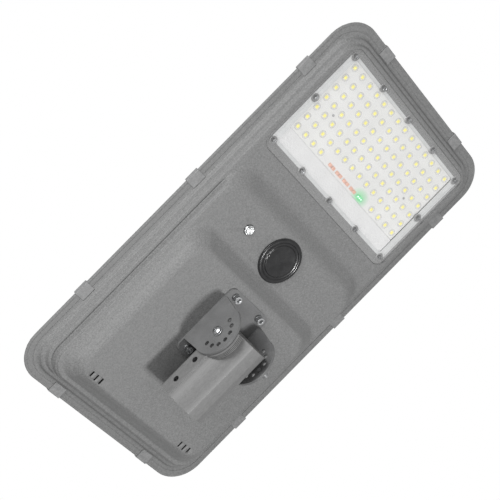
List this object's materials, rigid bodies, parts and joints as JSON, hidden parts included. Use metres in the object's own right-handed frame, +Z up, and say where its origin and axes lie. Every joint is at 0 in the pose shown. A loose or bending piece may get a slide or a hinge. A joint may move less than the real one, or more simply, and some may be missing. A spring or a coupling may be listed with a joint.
{
  "type": "solar street lamp",
  "caption": "Flat solar street lamp with a lensed LED window, motion sensor and switch under its panel, on a pole sleeve with a tilting bracket.",
  "frame": {"origin": "centre of the pole socket's mouth", "axes": "+X along the socket's axis from its mouth towards the head's LED end, +Y across the head, +Z up through the solar panel; the LEDs face -Z"},
  "size_m": [0.6026, 0.3466, 0.128],
  "materials": {
    "cast_grey": "satin powder coat",
    "sleeve_grey": "satin powder coat",
    "fastener": "bright zinc",
    "spring_steel": "plain",
    "dark_steel": "black oxide",
    "plate_steel": "zinc plated",
    "housing_grey": "fine texture",
    "frame_grey": "fine texture",
    "clip_grey": "satin",
    "seal": "matte",
    "panel_glass": "clear, toughened",
    "cell_blue": "dark blue",
    "sheet_white": "white",
    "black_plastic": "moulded",
    "lens_clear": "clear moulded plastic",
    "lens_seal": "grey silicone",
    "board_white": "white coated",
    "phosphor": "yellow",
    "red_lens": "tinted",
    "green_lens": "tinted, lit",
    "diffuser": "textured",
    "sink": "plain",
    "cover_black": "satin gloss",
    "sensor_pcb": "solder mask",
    "switch_metal": "turned",
    "cell_wrap": "shrink wrap",
    "nickel": "nickel strip",
    "chip_black": "moulded",
    "lead_red": "insulated",
    "membrane": "white"
  },
  "bodies": {
    "sleeve": {"pole_sleeve": "sleeve_grey", "set_screws": "dark_steel", "pivot_bolts": "fastener", "pivot_washers": "fastener"},
    "head": {"bracket": "cast_grey", "bracket_bolts": "fastener", "spring_washers": "spring_steel", "backing_plate": "plate_steel", "bracket_nuts": "fastener", "lock_bolt": "fastener", "lock_washers": "spring_steel", "lower_housing": "housing_grey", "rim_gasket": "seal", "panel_frame": "frame_grey", "edge_clips": "clip_grey", "glass_gasket": "seal", "solar_glass": "panel_glass", "solar_cells": "cell_blue", "backsheet": "sheet_white", "junction_box": "black_plastic", "lens_cover": "lens_clear", "lens_gasket": "lens_seal", "lens_screws": "fastener", "led_board": "board_white", "led_chips": "phosphor", "charge_leds": "red_lens", "run_led": "green_lens", "diffuser_strip": "diffuser", "heat_sink": "sink", "board_screws": "fastener", "sensor_cover": "cover_black", "sensor_seal": "seal", "sensor_board": "sensor_pcb", "switch_body": "switch_metal", "switch_seal": "seal", "switch_nut": "fastener", "battery_cells": "cell_wrap", "battery_cradles": "black_plastic", "battery_clamps": "black_plastic", "cell_links": "nickel", "controller_board": "sensor_pcb", "controller_parts": "chip_black", "board_posts": "black_plastic", "inner_leads": "lead_red", "vent_membranes": "membrane"},
    "button": {"button_cap": "switch_metal"}
  },
  "joints": [
    {"name": "head_tilt", "type": "hinge", "parent": "sleeve", "child": "head", "pos_m": [0.097, 0, 0], "axis": [0, 1, 0], "range_deg": [0, 90]},
    {"name": "power_button", "type": "slide", "parent": "head", "child": "button", "axis": [0, 0, 1], "range_m": [0, 0.0015], "stiffness_N_per_m": 1200, "springref_m": -0.001}
  ]
}
